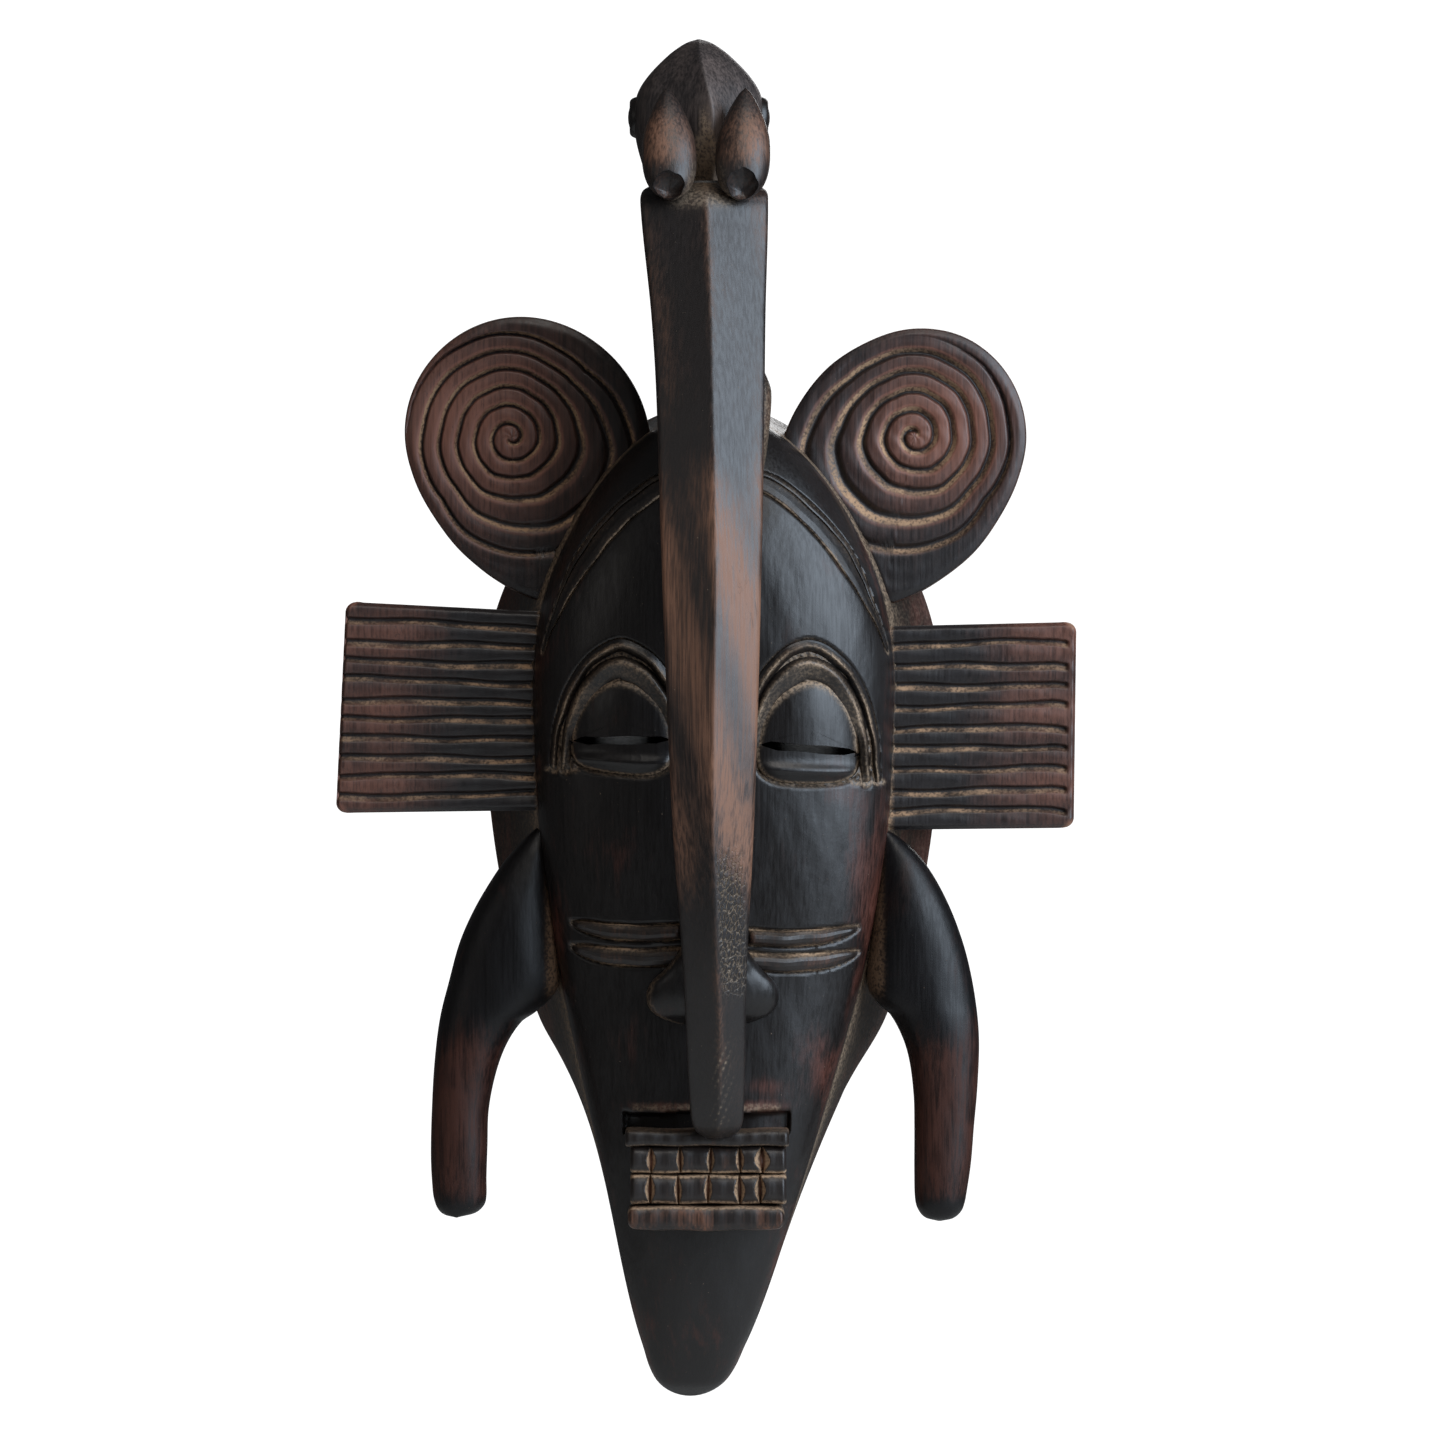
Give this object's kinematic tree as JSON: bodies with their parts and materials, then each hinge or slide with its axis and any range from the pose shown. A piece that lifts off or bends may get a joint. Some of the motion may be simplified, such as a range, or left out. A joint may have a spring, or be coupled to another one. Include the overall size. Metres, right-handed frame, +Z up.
{
  "type": "carved wooden mask",
  "caption": "Dark carved wood face mask with slit eyes, a long beak bowing down from a bird crest, coiled discs, ribbed combs, curved legs and an open back with a flat rim",
  "frame": {"origin": "on the wall plane at the middle of the open back, level with the widest part of the rim", "axes": "+Z up towards the crest, the face looks along -Y, +X is to the right as seen from the front"},
  "size_m": [0.2193, 0.1103, 0.4003],
  "materials": {
    "black_waxed_wood": "near-black stained and waxed hardwood, satin, reddish where worn",
    "worn_crest_wood": "dark stained hardwood worn reddish brown along the ridge, satin with open grain",
    "dusty_ornament_wood": "dark stained hardwood with light brown dust in the carved grooves, satin",
    "mouth_wood": "dark stained hardwood with light brown dust between the bars and teeth, satin",
    "leg_wood": "black waxed hardwood fading to reddish brown towards the feet, satin",
    "bare_rim_wood": "unstained brown hardwood darkened by handling, matt, with tool marks"
  },
  "bodies": {
    "root": {"rim_band": "bare_rim_wood", "face_shell": "black_waxed_wood", "chin": "black_waxed_wood", "forehead_band": "black_waxed_wood", "outer_brow_left": "black_waxed_wood", "outer_brow_right": "black_waxed_wood", "inner_brow_left": "black_waxed_wood", "inner_brow_right": "black_waxed_wood", "upper_eyelid_left": "black_waxed_wood", "upper_eyelid_right": "black_waxed_wood", "lower_eyelid_left": "black_waxed_wood", "lower_eyelid_right": "black_waxed_wood", "upper_cheek_bar_left": "mouth_wood", "upper_cheek_bar_right": "mouth_wood", "lower_cheek_bar_left": "mouth_wood", "lower_cheek_bar_right": "mouth_wood", "nose": "black_waxed_wood", "upper_lip": "mouth_wood", "upper_teeth": "mouth_wood", "lower_teeth": "mouth_wood", "lower_lip": "mouth_wood", "beak": "worn_crest_wood", "crest_neck": "black_waxed_wood", "crest_head": "black_waxed_wood", "crest_eye_left": "black_waxed_wood", "crest_eye_right": "black_waxed_wood", "ear_left": "worn_crest_wood", "ear_right": "worn_crest_wood", "coil_disc_left": "dusty_ornament_wood", "coil_disc_right": "dusty_ornament_wood", "comb_left": "dusty_ornament_wood", "comb_right": "dusty_ornament_wood", "leg_left": "leg_wood", "leg_right": "leg_wood"}
  },
  "joints": []
}
